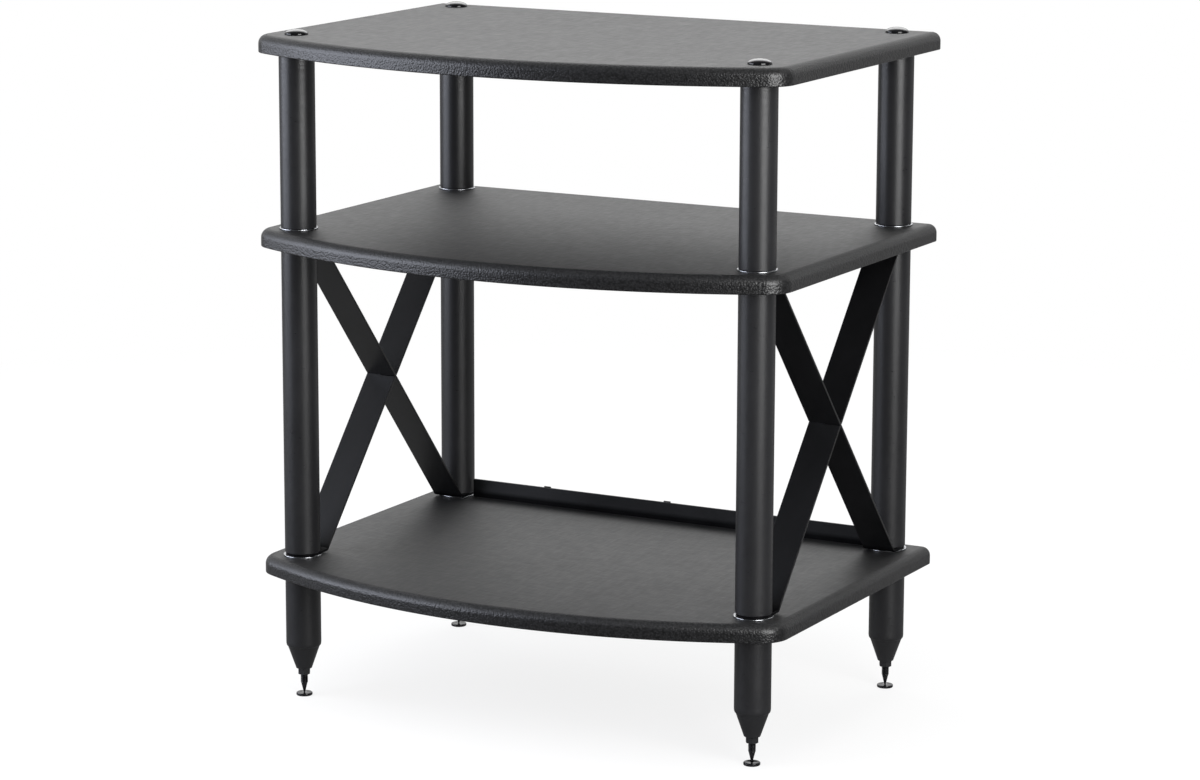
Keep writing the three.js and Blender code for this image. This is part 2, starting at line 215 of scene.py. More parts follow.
def map_range(nodes, links, value, start, end, low, high, interpolation="LINEAR"):
    """A value from start to end moved to run from low to high, and held there beyond them."""
    node = nodes.new("ShaderNodeMapRange")
    node.interpolation_type = interpolation
    node.inputs["From Min"].default_value = start
    node.inputs["From Max"].default_value = end
    node.inputs["To Min"].default_value = low
    node.inputs["To Max"].default_value = high
    links.new(value, node.inputs["Value"])
    return node.outputs["Result"]


def spread(nodes, links, value, low, high):
    return map_range(nodes, links, value, 0, 1, low, high)


def height_of(nodes, links, vector):
    node = nodes.new("ShaderNodeSeparateXYZ")
    links.new(vector, node.inputs["Vector"])
    return node.outputs["Z"]


def colour_between(nodes, links, value, dark, light):
    ramp = nodes.new("ShaderNodeValToRGB")
    ramp.color_ramp.elements[0].position = 0.3
    ramp.color_ramp.elements[1].position = 0.7
    ramp.color_ramp.elements[0].color = (*dark, 1)
    ramp.color_ramp.elements[1].color = (*light, 1)
    links.new(value, ramp.inputs["Fac"])
    return ramp.outputs["Color"]


def bump(nodes, links, shader, height, distance):
    node = nodes.new("ShaderNodeBump")
    node.inputs["Distance"].default_value = distance
    links.new(height, node.inputs["Height"])
    links.new(node.outputs["Normal"], shader.inputs["Normal"])


def linen_board():
    """Satin black melamine, embossed with short crossing threads."""
    material, nodes, links, shader = new_material("linen_board")
    warp = noise(nodes, links, (420, 55, 300), detail=5.0)
    weft = noise(nodes, links, (70, 300, 300), detail=5.0)
    threads = calculate(nodes, links, "ADD", warp, weft)
    threads = calculate(nodes, links, "MULTIPLY", threads, 0.5)
    cloud = noise(nodes, links, (9, 9, 9), detail=3.0)
    mixed = calculate(nodes, links, "MULTIPLY", threads, 0.7)
    tone = calculate(nodes, links, "MULTIPLY_ADD", cloud, 0.3, mixed)
    links.new(colour_between(nodes, links, tone, (0.003, 0.003, 0.0031), (0.021, 0.021, 0.0212)),
              shader.inputs["Base Color"])
    links.new(spread(nodes, links, threads, 0.35, 0.78), shader.inputs["Roughness"])
    shader.inputs["Specular IOR Level"].default_value = 0.4
    bump(nodes, links, shader, threads, 0.12 * MM)
    return material


def pebbled_edge():
    """Black vinyl with a leather grain, wrapped round the board's edge and matter on its top."""
    material, nodes, links, shader = new_material("pebbled_edge")
    pebbles = cells(nodes, links, 1.9 * MM)
    fine = noise(nodes, links, (1500, 1500, 1500), detail=3.0)
    height = calculate(nodes, links, "MULTIPLY_ADD", fine, 0.12, pebbles)
    links.new(colour_between(nodes, links, pebbles, (0.003, 0.003, 0.0032), (0.010, 0.010, 0.0107)),
              shader.inputs["Base Color"])
    upward = height_of(nodes, links, nodes.new("ShaderNodeTexCoord").outputs["Normal"])
    matter = map_range(nodes, links, upward, 0.25, 0.85, 0, 0.32)
    base = spread(nodes, links, fine, 0.26, 0.42)
    links.new(calculate(nodes, links, "ADD", base, matter), shader.inputs["Roughness"])
    shader.inputs["Specular IOR Level"].default_value = 0.55
    bump(nodes, links, shader, height, 0.3 * MM)
    return material


def powder_coat():
    """Satin black powder coat with a very fine orange peel."""
    material, nodes, links, shader = new_material("powder_coat")
    peel = noise(nodes, links, (550, 550, 550), detail=4.0)
    cloud = noise(nodes, links, (25, 25, 12), detail=4.0)
    links.new(colour_between(nodes, links, cloud, (0.008, 0.008, 0.0088), (0.0125, 0.0125, 0.0138)),
              shader.inputs["Base Color"])
    streak = noise(nodes, links, (160, 160, 900), detail=3.0)
    links.new(spread(nodes, links, streak, 0.16, 0.57), shader.inputs["Roughness"])
    shader.inputs["Specular IOR Level"].default_value = 0.45
    bump(nodes, links, shader, peel, 0.06 * MM)
    return material


def brace_paint():
    """Satin black paint on flat steel, rubbed, with painted shade low down: its shine is cut at the
    lower tabs and the rail's foot to darken the recess under the tubes.
    """
    material, nodes, links, shader = new_material("brace_paint")
    grain = noise(nodes, links, (700, 700, 700), detail=3.0)
    rub = noise(nodes, links, (30, 30, 8), detail=5.0)
    links.new(colour_between(nodes, links, rub, (0.002, 0.002, 0.0023), (0.004, 0.004, 0.0045)),
              shader.inputs["Base Color"])
    links.new(spread(nodes, links, grain, 0.32, 0.46), shader.inputs["Roughness"])
    # Painted shade: the shine is nearly gone below the lower tubes' ends and comes back over a bend
    # radius above them, so the clamped tabs and the rail's foot render dark.
    height = height_of(nodes, links, nodes.new("ShaderNodeTexCoord").outputs["Object"])
    tab_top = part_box("front_left_lower_tube")[0].z
    specular_with_painted_shade = map_range(nodes, links, height, tab_top, tab_top + BRACE_BEND_RADIUS, 0.03, 0.45)
    links.new(specular_with_painted_shade, shader.inputs["Specular IOR Level"])
    bump(nodes, links, shader, grain, 0.02 * MM)
    return material


def gloss_black():
    """Deep black nickel plating with faint wipe marks."""
    material, nodes, links, shader = new_material("gloss_black")
    wipe = noise(nodes, links, (60, 400, 400), detail=4.0)
    links.new(colour_between(nodes, links, wipe, (0.004, 0.004, 0.0045), (0.008, 0.008, 0.009)),
              shader.inputs["Base Color"])
    links.new(spread(nodes, links, wipe, 0.05, 0.14), shader.inputs["Roughness"])
    shader.inputs["Specular IOR Level"].default_value = 0.4
    return material


def bright_plating():
    """Plain bright plating with light smears."""
    material, nodes, links, shader = new_material("bright_plating")
    smear = noise(nodes, links, (200, 200, 40), detail=5.0)
    shader.inputs["Metallic"].default_value = 1.0
    links.new(colour_between(nodes, links, smear, (0.40, 0.41, 0.43), (0.52, 0.53, 0.55)),
              shader.inputs["Base Color"])
    links.new(spread(nodes, links, smear, 0.18, 0.30), shader.inputs["Roughness"])
    return material


def zinc():
    """Dull zinc on screws."""
    material, nodes, links, shader = new_material("zinc")
    mottle = noise(nodes, links, (500, 500, 500), detail=5.0)
    shader.inputs["Metallic"].default_value = 1.0
    links.new(colour_between(nodes, links, mottle, (0.38, 0.39, 0.40), (0.56, 0.57, 0.58)),
              shader.inputs["Base Color"])
    links.new(spread(nodes, links, mottle, 0.28, 0.45), shader.inputs["Roughness"])
    bump(nodes, links, shader, mottle, 0.01 * MM)
    return material


LINEN = linen_board()
PEBBLE = pebbled_edge()
COAT = powder_coat()
BRACE_PAINT = brace_paint()
GLOSS = gloss_black()
PLATING = bright_plating()
ZINC = zinc()


# Meshes

def make_piece(name, verts, faces, *materials):
    mesh = bpy.data.meshes.new(name)
    mesh.from_pydata(verts, [], faces)
    mesh.validate()
    mesh.shade_smooth()
    mesh.set_sharp_from_angle(angle=SHARP_ANGLE)
    for material in materials:
        mesh.materials.append(material)
    piece = bpy.data.objects.new(name, mesh)
    bpy.context.scene.collection.objects.link(piece)
    return piece


def stand_for(piece, node, body):
    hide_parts(node)
    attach(piece, body)


def weight_normals(piece):
    """Lets the large flat faces set the shading where a rounded edge runs into them."""
    modifier = piece.modifiers.new("flat_faces_lead", "WEIGHTED_NORMAL")
    modifier.keep_sharp = True
    modifier.weight = 100


def arc(centre, radius, start, end, steps):
    points = []
    for i in range(steps + 1):
        angle = start + (end - start) * i / steps
        points.append((centre[0] + radius * math.cos(angle), centre[1] + radius * math.sin(angle)))
    return points


def rounded(corners, closed=False, steps=ROUND_STEPS):
    """A path through corners given as (x, y, radius), each one rounded."""
    path = []
    for i, (x, y, radius) in enumerate(corners):
        if radius == 0 or (not closed and i in (0, len(corners) - 1)):
            path.append((x, y))
            continue
        here = Vector((x, y))
        back = (Vector(corners[i - 1][:2]) - here).normalized()
        ahead = (Vector(corners[(i + 1) % len(corners)][:2]) - here).normalized()
        half = back.angle(ahead) / 2
        centre = here + (back + ahead).normalized() * radius / math.sin(half)
        start = here + back * radius / math.tan(half) - centre
        turn = math.pi - 2 * half
        if back.cross(ahead) > 0:
            turn = -turn
        for k in range(steps + 1):
            point = centre + Matrix.Rotation(turn * k / steps, 2) @ start
            path.append((point.x, point.y))
    return path


def quarter_round(radius, steps):
    """(inset, height) up the rounding of a lower edge, from the underside to the side."""
    angles = [math.pi / 2 * i / steps for i in range(steps + 1)]
    return [(radius * (1 - math.sin(angle)), radius * (1 - math.cos(angle))) for angle in angles]


def revolve(name, profile, centre, material, closed=False, sides=SIDES):
    """An anticlockwise profile of (radius, height) turned about the upright axis through centre."""
    verts, rings = [], []
    for radius, height in profile:
        if radius == 0:
            rings.append([len(verts)] * sides)
            verts.append((centre[0], centre[1], centre[2] + height))
            continue
        rings.append(list(range(len(verts), len(verts) + sides)))
        for x, y in arc(centre, radius, 0, 2 * math.pi, sides)[:-1]:
            verts.append((x, y, centre[2] + height))
    if closed:
        rings.append(rings[0])
    faces = []
    for low, high in zip(rings, rings[1:]):
        for i in range(sides):
            j = (i + 1) % sides
            corners = [low[i], low[j], high[j], high[i]]
            face = [c for k, c in enumerate(corners) if c != corners[k - 1]]
            if len(face) > 2:
                faces.append(face)
    return make_piece(name, verts, faces, material)


def seat(node):
    """The bottom centre, the radius and the height of a round CAD node."""
    low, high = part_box(node)
    centre = ((low.x + high.x) / 2, (low.y + high.y) / 2, low.z)
    return centre, (high.x - low.x) / 2, high.z - low.z


# Shelves

def shelf_outline(width, depth, inset):
    arc_y = FRONT_ARC_RADIUS - depth / 2
    corner_x = width / 2 - FRONT_CORNER_RADIUS
    corner_y = arc_y - math.sqrt((FRONT_ARC_RADIUS - FRONT_CORNER_RADIUS) ** 2 - corner_x ** 2)
    sweep = math.atan2(corner_x, arc_y - corner_y)
    down = -math.pi / 2
    front = FRONT_CORNER_RADIUS - inset
    rear = max(REAR_CORNER_RADIUS - inset, LEAST_CORNER_RADIUS)
    rear_x = width / 2 - inset - rear
    rear_y = depth / 2 - inset - rear
    bow = arc((0, arc_y), FRONT_ARC_RADIUS - inset, down - sweep, down + sweep, ARC_STEPS)
    return [
        *bow[1:-1],
        *arc((corner_x, corner_y), front, down + sweep, 0, CORNER_STEPS),
        *arc((rear_x, rear_y), rear, 0, math.pi / 2, CORNER_STEPS),
        *arc((-rear_x, rear_y), rear, math.pi / 2, math.pi, CORNER_STEPS),
        *arc((-corner_x, corner_y), front, math.pi, 3 * math.pi / 2 - sweep, CORNER_STEPS),
    ]


def shelf_levels(thickness):
    """(inset, height) of the outlines up the shelf's edge."""
    low = quarter_round(BOTTOM_EDGE_RADIUS, ROUND_STEPS)
    high = quarter_round(TOP_EDGE_RADIUS, ROUND_STEPS)
    return low + [(inset, thickness - height) for inset, height in reversed(high)]


def triangulate(loops, lines=()):
    """Triangles over the first loop without the others, which are holes in it. Lines are kept."""
    points, edges = [], []
    for loop in loops:
        first = len(points)
        points += [Vector(p) for p in loop]
        edges += [(first + i, first + (i + 1) % len(loop)) for i in range(len(loop))]
    edges += lines
    result = delaunay_2d_cdt(points, edges, [], 1, 1e-9)
    new_points, new_faces, origins = result[0], result[2], result[3]
    back = {i: source[0] for i, source in enumerate(origins) if source}
    holes = []
    for loop in loops[1:]:
        centre = sum((Vector(p) for p in loop), Vector((0, 0))) / len(loop)
        holes.append((centre, (Vector(loop[0]) - centre).length * IN_HOLE))
    faces = []
    for face in new_faces:
        middle = sum((new_points[i] for i in face), Vector((0, 0))) / len(face)
        if any((middle - centre).length < reach for centre, reach in holes):
            continue
        a, b, c = (new_points[i] for i in face)
        corners = [back[i] for i in face]
        faces.append(corners if (b - a).cross(c - a) > 0 else corners[::-1])
    return faces


def shelf(name, holes):
    low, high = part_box(name)
    width, depth, thickness = high - low
    levels = shelf_levels(thickness)
    outlines = [shelf_outline(width, depth, inset) for inset, height in levels]
    count = len(outlines[0])
    verts = []
    for outline, (inset, height) in zip(outlines, levels):
        verts += [(x, y, low.z + height) for x, y in outline]
    faces = []
    for level in range(len(levels) - 1):
        for i in range(count):
            j = (i + 1) % count
            a, b = level * count + i, level * count + j
            faces.append((a, b, b + count, a + count))
    edge_faces = len(faces)
    circles = [arc(hole, CLEAR_RADIUS, 0, 2 * math.pi, SMALL_SIDES)[:-1] for hole in holes]
    hole_start = len(verts)
    for height in (low.z, high.z):
        for circle in circles:
            verts += [(x, y, height) for x, y in circle]
    half = len(circles) * SMALL_SIDES
    for k in range(len(circles)):
        for i in range(SMALL_SIDES):
            a = hole_start + k * SMALL_SIDES + i
            b = hole_start + k * SMALL_SIDES + (i + 1) % SMALL_SIDES
            faces.append((b, a, a + half, b + half))
    underside = (outlines[0], 0, hole_start, False)
    top = (outlines[-1], (len(levels) - 1) * count, hole_start + half, True)
    for outline, start, rim, upward in (underside, top):
        for face in triangulate([outline, *circles]):
            corners = [start + c if c < count else rim + c - count for c in face]
            faces.append(corners if upward else corners[::-1])
    piece = make_piece(f"{name}_board", verts, faces, LINEN, PEBBLE)
    for polygon in piece.data.polygons[:edge_faces]:
        polygon.material_index = 1
    weight_normals(piece)
    stand_for(piece, name, "rack")


# Pillars

def pillar_tube(node):
    centre, radius, length = seat(node)
    bore = radius - TUBE_WALL
    profile = rounded([
        (TAPPED_RADIUS, 0, 0),
        (radius, 0, TUBE_END_ROUND),
        (radius, length, TUBE_END_ROUND),
        (TAPPED_RADIUS, length, 0),
        (TAPPED_RADIUS, length - PLUG_THICKNESS, 0),
        (bore, length - PLUG_THICKNESS, 0),
        (bore, PLUG_THICKNESS, 0),
        (TAPPED_RADIUS, PLUG_THICKNESS, 0),
    ], closed=True)
    piece = revolve(f"{node}_shell", profile, centre, COAT, closed=True)
    weight_normals(piece)
    stand_for(piece, node, "rack")


def foot_tube(node):
    centre, radius, length = seat(node)
    bore = radius - TUBE_WALL
    lip = radius - LIP_DEPTH
    curve = []
    for i in range(ROUND_STEPS, -1, -1):
        angle = math.pi / 2 * i / ROUND_STEPS
        curve.append((lip + LIP_DEPTH * math.cos(angle), LIP_HEIGHT * (1 - math.sin(angle))))
    shoulder = rounded([
        (radius, LIP_HEIGHT, 0),
        (radius, length, TUBE_END_ROUND),
        (TAPPED_RADIUS, length, 0),
    ])
    profile = [
        *curve,
        *shoulder[1:],
        (TAPPED_RADIUS, length - PLUG_THICKNESS),
        (bore, length - PLUG_THICKNESS),
        (bore, LIP_HEIGHT),
        (lip - TUBE_WALL, 0),
    ]
    piece = revolve(f"{node}_shell", profile, centre, COAT, closed=True)
    weight_normals(piece)
    stand_for(piece, node, "rack")


def foot_cone(node):
    centre, radius, length = seat(node)
    spigot = radius + CONE_STEP - TUBE_WALL - SPIGOT_CLEARANCE
    profile = rounded([
        (TAPPED_RADIUS, 0, 0),
        (CONE_BOTTOM_RADIUS, 0, CONE_EDGE_ROUND),
        (radius, CONE_HEIGHT, 0),
        (spigot, CONE_HEIGHT, 0),
        (spigot, length, 0),
        (TAPPED_RADIUS, length, 0),
    ], closed=True)
    piece = revolve(f"{node}_turned", profile, centre, COAT, closed=True)
    stand_for(piece, node, "rack")


def cap(node):
    centre, radius, length = seat(node)
    rise = length - CAP_SHANK - CAP_RIM_HEIGHT
    profile = [
        (0, 0),
        (THREAD_ROOT_RADIUS, 0),
        (THREAD_ROOT_RADIUS, CAP_SHANK),
        (radius, CAP_SHANK),
    ]
    for i in range(DOME_STEPS):
        angle = math.pi / 2 * i / DOME_STEPS
        height = CAP_SHANK + CAP_RIM_HEIGHT + rise * math.sin(angle)
        profile.append((radius * math.cos(angle), height))
    profile.append((0, length))
    piece = revolve(f"{node}_dome", profile, centre, GLOSS)
    stand_for(piece, node, "rack")


def plated_ring(name, centre, radius, height):
    profile = rounded([
        (CLEAR_RADIUS, 0, 0),
        (radius, 0, RING_ROUND),
        (radius, height, RING_ROUND),
        (CLEAR_RADIUS, height, 0),
    ], closed=True)
    return revolve(name, profile, centre, PLATING, closed=True)


def rings_and_studs(leg):
    """The ring under the upper tube, and the ring and stud that share the lower stud's solid."""
    node = f"{leg}_ring"
    centre, radius, height = seat(node)
    stand_for(plated_ring(f"{node}_plated", centre, radius, height), node, "rack")
    upper_stud = frame["nodes"][f"{leg}_upper_stud"].data
    upper_stud.materials.clear()
    upper_stud.materials.append(ZINC)

    node = f"{leg}_lower_stud"
    stud_foot, _, length = seat(node)
    centre = (stud_foot[0], stud_foot[1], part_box("bottom_shelf")[1].z)
    lower_ring = plated_ring(f"{leg}_lower_ring_plated", centre, radius, height)
    stand_for(lower_ring, node, "rack")
    profile = [
        (0, 0),
        (STUD_RADIUS - STUD_CHAMFER, 0),
        (STUD_RADIUS, STUD_CHAMFER),
        (STUD_RADIUS, length - STUD_CHAMFER),
        (STUD_RADIUS - STUD_CHAMFER, length),
        (0, length),
    ]
    rod = revolve(f"{node}_rod", profile, stud_foot, ZINC, sides=SMALL_SIDES)
    stand_for(rod, node, "rack")


# Feet

def around(centre, radius, angle, height):
    x, y, z = centre
    return (x + radius * math.cos(angle), y + radius * math.sin(angle), z + height)


def threaded_grid(centre, bottom, top):
    """Rings of a screw thread, whose crest climbs one pitch in each turn."""
    rows = round((top - bottom) / THREAD_PITCH * THREAD_ROWS)
    rings = []
    for row in range(rows + 1):
        height = bottom + (top - bottom) * row / rows
        fade = min(1, row / THREAD_ROWS, (rows - row) / THREAD_ROWS)
        ring_points = []
        for i in range(THREAD_SIDES):
            angle = 2 * math.pi * i / THREAD_SIDES
            phase = (height / THREAD_PITCH - i / THREAD_SIDES) % 1
            crest = 1 - abs(2 * phase - 1)
            radius = THREAD_ROOT_RADIUS + (THREAD_CREST_RADIUS - THREAD_ROOT_RADIUS) * crest * fade
            ring_points.append(around(centre, radius, angle, height))
        rings.append(ring_points)
    return rings


def spike(node, body):
    centre, _, length = seat(node)
    taper = [
        (SPIKE_TIP_RADIUS, 0),
        (SPIKE_TIP_RADIUS * 2, SPIKE_TIP_RADIUS),
        (THREAD_ROOT_RADIUS, SPIKE_TAPER),
    ]
    rings = []
    for ring_radius, height in taper:
        rings.append([(x, y, centre[2] + height)
                      for x, y in arc(centre, ring_radius, 0, 2 * math.pi, THREAD_SIDES)[:-1]])
    rings += threaded_grid(centre, SPIKE_TAPER, length)[1:]
    verts = [point for points in rings for point in points]
    faces = []
    for row in range(len(rings) - 1):
        for i in range(THREAD_SIDES):
            a = row * THREAD_SIDES + i
            b = row * THREAD_SIDES + (i + 1) % THREAD_SIDES
            faces.append((a, b, b + THREAD_SIDES, a + THREAD_SIDES))
    top = (len(rings) - 1) * THREAD_SIDES
    faces.append(list(range(THREAD_SIDES))[::-1])
    faces.append(list(range(top, top + THREAD_SIDES)))
    piece = make_piece(f"{node}_screw", verts, faces, GLOSS)
    stand_for(piece, node, body)


def lock_nut(node, body):
    """A hexagon nut: turned to a cone at both ends, which cuts curved chamfers on its corners."""
    centre, _, height = seat(node)
    sides = 6 * NUT_STEPS
    columns = []
    for i in range(sides):
        off_flat = (i % NUT_STEPS) / NUT_STEPS * math.pi / 3 - math.pi / 6
        hex_radius = NUT_FLAT / math.cos(off_flat)
        drop = (hex_radius - NUT_FLAT) * math.tan(NUT_CHAMFER)
        column = [
            (TAPPED_RADIUS, 0),
            (NUT_FLAT, 0),
            (hex_radius, drop),
            (hex_radius, height - drop),
            (NUT_FLAT, height),
            (TAPPED_RADIUS, height),
        ]
        columns.append([around(centre, radius, 2 * math.pi * i / sides, z) for radius, z in column])
    rings = list(zip(*columns))
    verts = [point for ring in rings for point in ring]
    faces = []
    for row in range(len(rings)):
        low = row * sides
        high = (row + 1) % len(rings) * sides
        for i in range(sides):
            j = (i + 1) % sides
            faces.append((low + i, low + j, high + j, high + i))
    piece = make_piece(f"{node}_hexagon", verts, faces, COAT)
    stand_for(piece, node, body)


def floor_disc(node, body):
    centre, radius, height = seat(node)
    profile = rounded([
        (0, 0, 0),
        (radius, 0, DISC_ROUND),
        (radius, height, DISC_ROUND),
        (DIMPLE_RADIUS, height, 0),
        (0, height - DIMPLE_DEPTH, 0),
    ])
    piece = revolve(f"{node}_turned", profile, centre, GLOSS)
    stand_for(piece, node, body)


# Plates: a flat pattern with holes, rounded at its edges and laid along a bent line

def inset_loop(loop, distance):
    """The loop moved into the sheet: inwards for an anticlockwise outline, outwards for a hole."""
    moved = []
    for i, point in enumerate(loop):
        here = Vector(point)
        before = (here - Vector(loop[i - 1])).normalized()
        after = (Vector(loop[(i + 1) % len(loop)]) - here).normalized()
        first = Vector((-before.y, before.x))
        second = Vector((-after.y, after.x))
        moved.append(here + (first + second) * distance / (1 + first.dot(second)))
    return moved


def plate(name, outline, holes, thickness, edge, lay, cross_lines, material):
    """lay(along, across, above) puts a point of the flat pattern in place."""
    loops = [outline, *[hole[::-1] for hole in holes]]
    count = sum(len(loop) for loop in loops)
    low = quarter_round(edge, PLATE_EDGE_STEPS)
    levels = [(inset, height - thickness / 2) for inset, height in low]
    levels += [(inset, -above) for inset, above in reversed(levels)]
    verts = []
    for inset, above in levels:
        for loop in loops:
            verts += [lay(p.x, p.y, above) for p in inset_loop(loop, inset)]
    faces = []
    for level in range(len(levels) - 1):
        start = level * count
        for loop in loops:
            for i in range(len(loop)):
                a, b = start + i, start + (i + 1) % len(loop)
                faces.append((a, b, b + count, a + count))
            start += len(loop)
    lines = []
    for along in cross_lines:
        found = [i for i, p in enumerate(outline) if abs(p[0] - along) < SAME_PLACE]
        found.sort(key=lambda i: outline[i][1])
        lines.append((found[0], found[-1]))
    flat = triangulate([[tuple(p) for p in inset_loop(loop, edge)] for loop in loops], lines)
    top = (len(levels) - 1) * count
    for face in flat:
        faces.append([top + c for c in face])
        faces.append(face[::-1])
    piece = make_piece(name, verts, faces, material)
    weight_normals(piece)
    return piece


class Brace:
    """The middle line of a brace in the Y and Z plane, from the front tab up to the rear one."""

    def __init__(self, side):
        front, tube_radius, _ = seat(f"front_{side}_lower_tube")
        rear, _, _ = seat(f"rear_{side}_lower_tube")
        self.x = front[0]
        self.front_y = front[1]
        ring_height = seat(f"front_{side}_ring")[2]
        self.low_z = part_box("bottom_shelf")[1].z + ring_height + BRACE_THICKNESS / 2
        self.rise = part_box("middle_shelf")[0].z - BRACE_THICKNESS / 2 - self.low_z
        self.reach = rear[1] - front[1]
        run = self.reach - 2 * (tube_radius + BRACE_TUBE_CLEARANCE)
        square = self.rise - 4 * BRACE_BEND_RADIUS
        self.slope = 2 * math.atan((math.sqrt(run ** 2 + self.rise * square) - run) / square)
        tangent = BRACE_BEND_RADIUS * math.tan(self.slope / 2)
        self.level = tube_radius + BRACE_TUBE_CLEARANCE
        self.bend = BRACE_BEND_RADIUS * self.slope
        self.straight = math.hypot(self.rise, self.reach - 2 * (self.level + tangent)) - 2 * tangent
        self.length = 2 * (self.level + self.bend) + self.straight

    def at(self, along):
        """(y, z, direction) at a length along the line."""
        if along > self.length / 2:
            y, z, direction = self.at(self.length - along)
            return 2 * self.front_y + self.reach - y, 2 * self.low_z + self.rise - z, direction
        if along <= self.level:
            return self.front_y + along, self.low_z, 0.0
        turned = min(along - self.level, self.bend) / BRACE_BEND_RADIUS
        past = max(along - self.level - self.bend, 0)
        bent = BRACE_BEND_RADIUS * math.sin(turned)
        y = self.front_y + self.level + bent + past * math.cos(turned)
        z = self.low_z + BRACE_BEND_RADIUS * (1 - math.cos(turned)) + past * math.sin(turned)
        return y, z, turned

    def bend_places(self):
        first = [self.level + self.bend * i / BEND_STEPS for i in range(BEND_STEPS + 1)]
        return first + [self.length - along for along in reversed(first)]

    def outline(self, slot_side):
        half = BRACE_WIDTH / 2
        quarter = math.pi / 2
        places = self.bend_places()
        near = arc((0, 0), half, quarter, 3 * quarter, SMALL_SIDES // 2)
        far = arc((self.length, 0), half, -quarter, quarter, SMALL_SIDES // 2)
        middle = self.length / 2
        slot = [
            (middle + BRACE_SLOT_WIDTH / 2, half),
            (middle + BRACE_SLOT_WIDTH / 2, -BRACE_SLOT_OVERLAP),
            (middle - BRACE_SLOT_WIDTH / 2, -BRACE_SLOT_OVERLAP),
            (middle - BRACE_SLOT_WIDTH / 2, half),
        ]
        back = [(along, half) for along in reversed(places)]
        joined = len(back) // 2
        outline = [
            *near,
            *[(along, -half) for along in places],
            *far,
            *back[:joined],
            *slot,
            *back[joined:],
        ]
        if slot_side < 0:
            outline = [(along, -across) for along, across in reversed(outline)]
        return outline

    def lay(self, falling):
        def put(along, across, above):
            y, z, direction = self.at(along)
            y -= above * math.sin(direction)
            z += above * math.cos(direction)
            if falling:
                z = 2 * self.low_z + self.rise - z
            return (self.x + across, y, z)
        return put


def brace(side, falling):
    line = Brace(side)
    slot_side = -1 if falling else 1
    ends = [(0, 0), (line.length, 0)]
    holes = [arc(end, CLEAR_RADIUS, 0, 2 * math.pi, SMALL_SIDES // 2)[:-1] for end in ends]
    node = f"{side}_{'falling' if falling else 'rising'}_brace"
    piece = plate(f"{node}_bar", line.outline(slot_side), holes, BRACE_THICKNESS, BRACE_EDGE,
                  line.lay(falling), line.bend_places(), BRACE_PAINT)
    if falling:
        piece.data.flip_normals()
    stand_for(piece, node, "rack")


def record_rail():
    low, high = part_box("record_rail")
    middle_y = (low.y + high.y) / 2
    outline = rounded([
        (low.x, low.z, 0),
        (high.x, low.z, 0),
        (high.x, high.z, RAIL_CORNER),
        (low.x, high.z, RAIL_CORNER),
    ], closed=True)
    piece = plate("record_rail_strip", outline, [], high.y - low.y, RAIL_EDGE,
                  lambda along, across, above: (along, middle_y - above, across), [], BRACE_PAINT)
    stand_for(piece, "record_rail", "rack")


def rail_bracket(node):
    low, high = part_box(node)
    half = (high.x - low.x) / 2
    middle_x = (low.x + high.x) / 2
    inner = BRACKET_THICKNESS / 2
    flat = high.y - low.y - inner - BRACKET_BEND_RADIUS
    bend = BRACKET_BEND_RADIUS * math.pi / 2
    upright = high.z - low.z - inner - BRACKET_BEND_RADIUS
    length = flat + bend + upright
    places = [flat + bend * i / BEND_STEPS for i in range(BEND_STEPS + 1)]

    def lay(along, across, above):
        turned = min(max(along - flat, 0), bend) / BRACKET_BEND_RADIUS
        past = max(along - flat - bend, 0)
        back = min(along, flat) + (BRACKET_BEND_RADIUS - above) * math.sin(turned)
        rise = inner + BRACKET_BEND_RADIUS - (BRACKET_BEND_RADIUS - above) * math.cos(turned) + past
        return (middle_x + across, high.y - back, low.z + rise)

    outline = [
        (0, -half),
        *[(along, -half) for along in places],
        (length, -half),
        (length, half),
        *[(along, half) for along in reversed(places)],
        (0, half),
    ]
    screw_y = seat(node.replace("bracket", "screw"))[0][1]
    hole = arc((high.y - screw_y, 0), SCREW_HOLE_RADIUS, 0, 2 * math.pi, SMALL_SIDES // 2)[:-1]
    piece = plate(f"{node}_angle", outline, [hole], BRACKET_THICKNESS, BRACKET_EDGE, lay, places,
                  BRACE_PAINT)
    stand_for(piece, node, "rack")


def rail_screw(node):
    """A pan head with a cross recess, and a pointed shank."""
    centre, head, length = seat(node)
    under = length - SCREW_HEAD_HEIGHT
    profile = rounded([
        (0, 0, 0),
        (SCREW_SHANK_RADIUS, SCREW_POINT, 0),
        (SCREW_SHANK_RADIUS, under, 0),
        (head, under, 0),
        (head, length, SCREW_HEAD_HEIGHT * 0.7),
        (0, length, 0),
    ])
    piece = revolve(f"{node}_head", profile, centre, ZINC, sides=SMALL_SIDES)
    arm, half = RECESS_LENGTH / 2, RECESS_WIDTH / 2
    cross = [
        (arm, -half), (arm, half), (half, half), (half, arm), (-half, arm), (-half, half),
        (-arm, half), (-arm, -half), (-half, -half), (-half, -arm), (half, -arm), (half, -half),
    ]
    depths = (centre[2] + length - RECESS_DEPTH, centre[2] + length + RECESS_DEPTH)
    verts = [(centre[0] + x, centre[1] + y, z) for z in depths for x, y in cross]
    count = len(cross)
    faces = [(i, (i + 1) % count, (i + 1) % count + count, i + count) for i in range(count)]
    faces += [list(range(count))[::-1], list(range(count, 2 * count))]
    cutter = make_piece(f"{node}_cutter", verts, faces, ZINC)
    modifier = piece.modifiers.new("cross_recess", "BOOLEAN")
    modifier.operation = "DIFFERENCE"
    modifier.object = cutter
    modifier.solver = "EXACT"
    bpy.context.view_layer.update()
    evaluated = piece.evaluated_get(bpy.context.evaluated_depsgraph_get())
    cut = bpy.data.meshes.new_from_object(evaluated)
    piece.modifiers.clear()
    piece.data = cut
    bpy.data.objects.remove(cutter)
    stand_for(piece, node, "rack")


# Stage, light and camera

def maximum(nodes, links, a, b):
    return calculate(nodes, links, "MAXIMUM", a, b)


